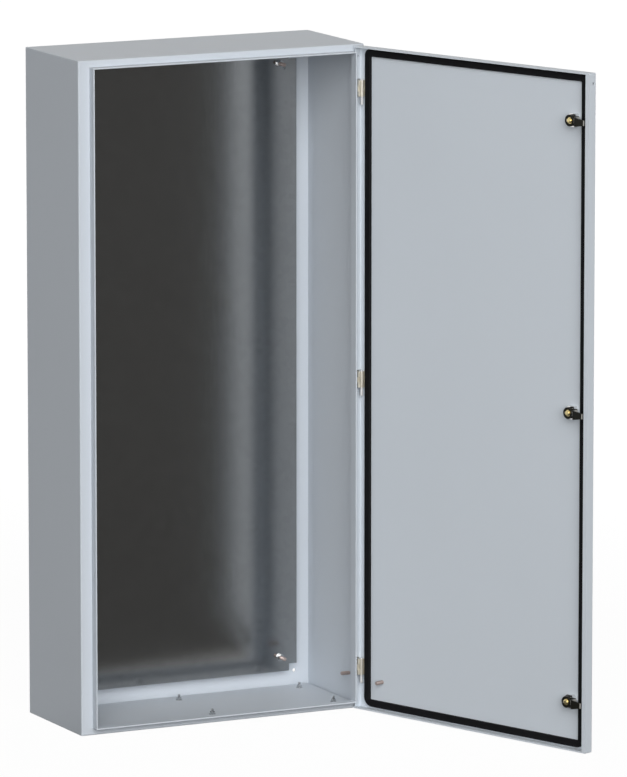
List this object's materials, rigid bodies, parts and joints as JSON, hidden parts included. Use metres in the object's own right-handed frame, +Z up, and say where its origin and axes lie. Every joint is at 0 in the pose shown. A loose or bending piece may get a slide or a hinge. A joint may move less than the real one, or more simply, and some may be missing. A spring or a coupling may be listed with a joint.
{
  "type": "steel wall enclosure",
  "caption": "Tall folded steel wall enclosure with a hinged, sealed door held by quarter-turn locks, a removable mounting plate and a gland plate in its floor.",
  "frame": {"origin": "centre of the four wall holes, on the rear face of the back panel", "axes": "+Z up along the height, +Y into the wall, -Y towards the door, +X towards the hinge side"},
  "size_m": [0.8619, 0.8766, 1.4],
  "materials": {
    "cabinet_paint": "light grey textured powder coat",
    "door_paint": "light grey textured powder coat",
    "galvanised": "hot-dip galvanised sheet steel",
    "foam": "matt black foamed polyurethane",
    "zinc": "bright zinc plate",
    "copper_plated": "copper-plated weld stud",
    "hinge_cast": "beige passivated zinc casting",
    "nickel": "bright nickel plate",
    "lock_zinc": "polished zinc die casting",
    "cam_black": "black coated pressed steel",
    "yellow_zinc": "yellow passivated zinc plate"
  },
  "bodies": {
    "cabinet": {"cabinet_wrap": "cabinet_paint", "back_panel": "cabinet_paint", "gland_seal": "foam", "gland_plate": "cabinet_paint", "gland_studs": "zinc", "gland_washers": "zinc", "gland_nuts": "zinc", "mounting_plate": "galvanised", "plate_studs": "copper_plated", "plate_spacers": "zinc", "plate_washers": "zinc", "plate_nuts": "zinc", "cabinet_earth_stud": "copper_plated", "hinge_screws": "zinc", "hinge_cabinet_leaf_bottom": "hinge_cast", "hinge_cabinet_leaf_middle": "hinge_cast", "hinge_cabinet_leaf_top": "hinge_cast", "hinge_pin_bottom": "nickel", "hinge_pin_middle": "nickel", "hinge_pin_top": "nickel"},
    "door": {"door_panel": "door_paint", "door_seal": "foam", "door_earth_stud": "copper_plated", "hinge_door_leaf_bottom": "hinge_cast", "hinge_door_leaf_middle": "hinge_cast", "hinge_door_leaf_top": "hinge_cast", "lock_housing_bottom": "lock_zinc", "lock_seal_bottom": "foam", "lock_nut_bottom": "lock_zinc", "lock_housing_middle": "lock_zinc", "lock_seal_middle": "foam", "lock_nut_middle": "lock_zinc", "lock_housing_top": "lock_zinc", "lock_seal_top": "foam", "lock_nut_top": "lock_zinc"},
    "lock_bottom": {"lock_rotor_bottom": "lock_zinc", "lock_cam_bottom": "cam_black", "cam_washer_bottom": "yellow_zinc", "cam_screw_bottom": "yellow_zinc"},
    "lock_middle": {"lock_rotor_middle": "lock_zinc", "lock_cam_middle": "cam_black", "cam_washer_middle": "yellow_zinc", "cam_screw_middle": "yellow_zinc"},
    "lock_top": {"lock_rotor_top": "lock_zinc", "lock_cam_top": "cam_black", "cam_washer_top": "yellow_zinc", "cam_screw_top": "yellow_zinc"}
  },
  "joints": [
    {"name": "door_hinge", "type": "hinge", "parent": "cabinet", "child": "door", "pos_m": [0.311, -0.276, 0], "axis": [0, 0, 1], "range_deg": [-110, 0]},
    {"name": "lock_turn_bottom", "type": "hinge", "parent": "door", "child": "lock_bottom", "pos_m": [0.51928, -0.81901, -0.5975], "axis": [-0.9397, -0.342, 0], "range_deg": [0, 90]},
    {"name": "lock_turn_middle", "type": "hinge", "parent": "door", "child": "lock_middle", "pos_m": [0.51928, -0.81901, 0], "axis": [-0.9397, -0.342, 0], "range_deg": [0, 90]},
    {"name": "lock_turn_top", "type": "hinge", "parent": "door", "child": "lock_top", "pos_m": [0.51928, -0.81901, 0.5975], "axis": [-0.9397, -0.342, 0], "range_deg": [0, 90]}
  ]
}
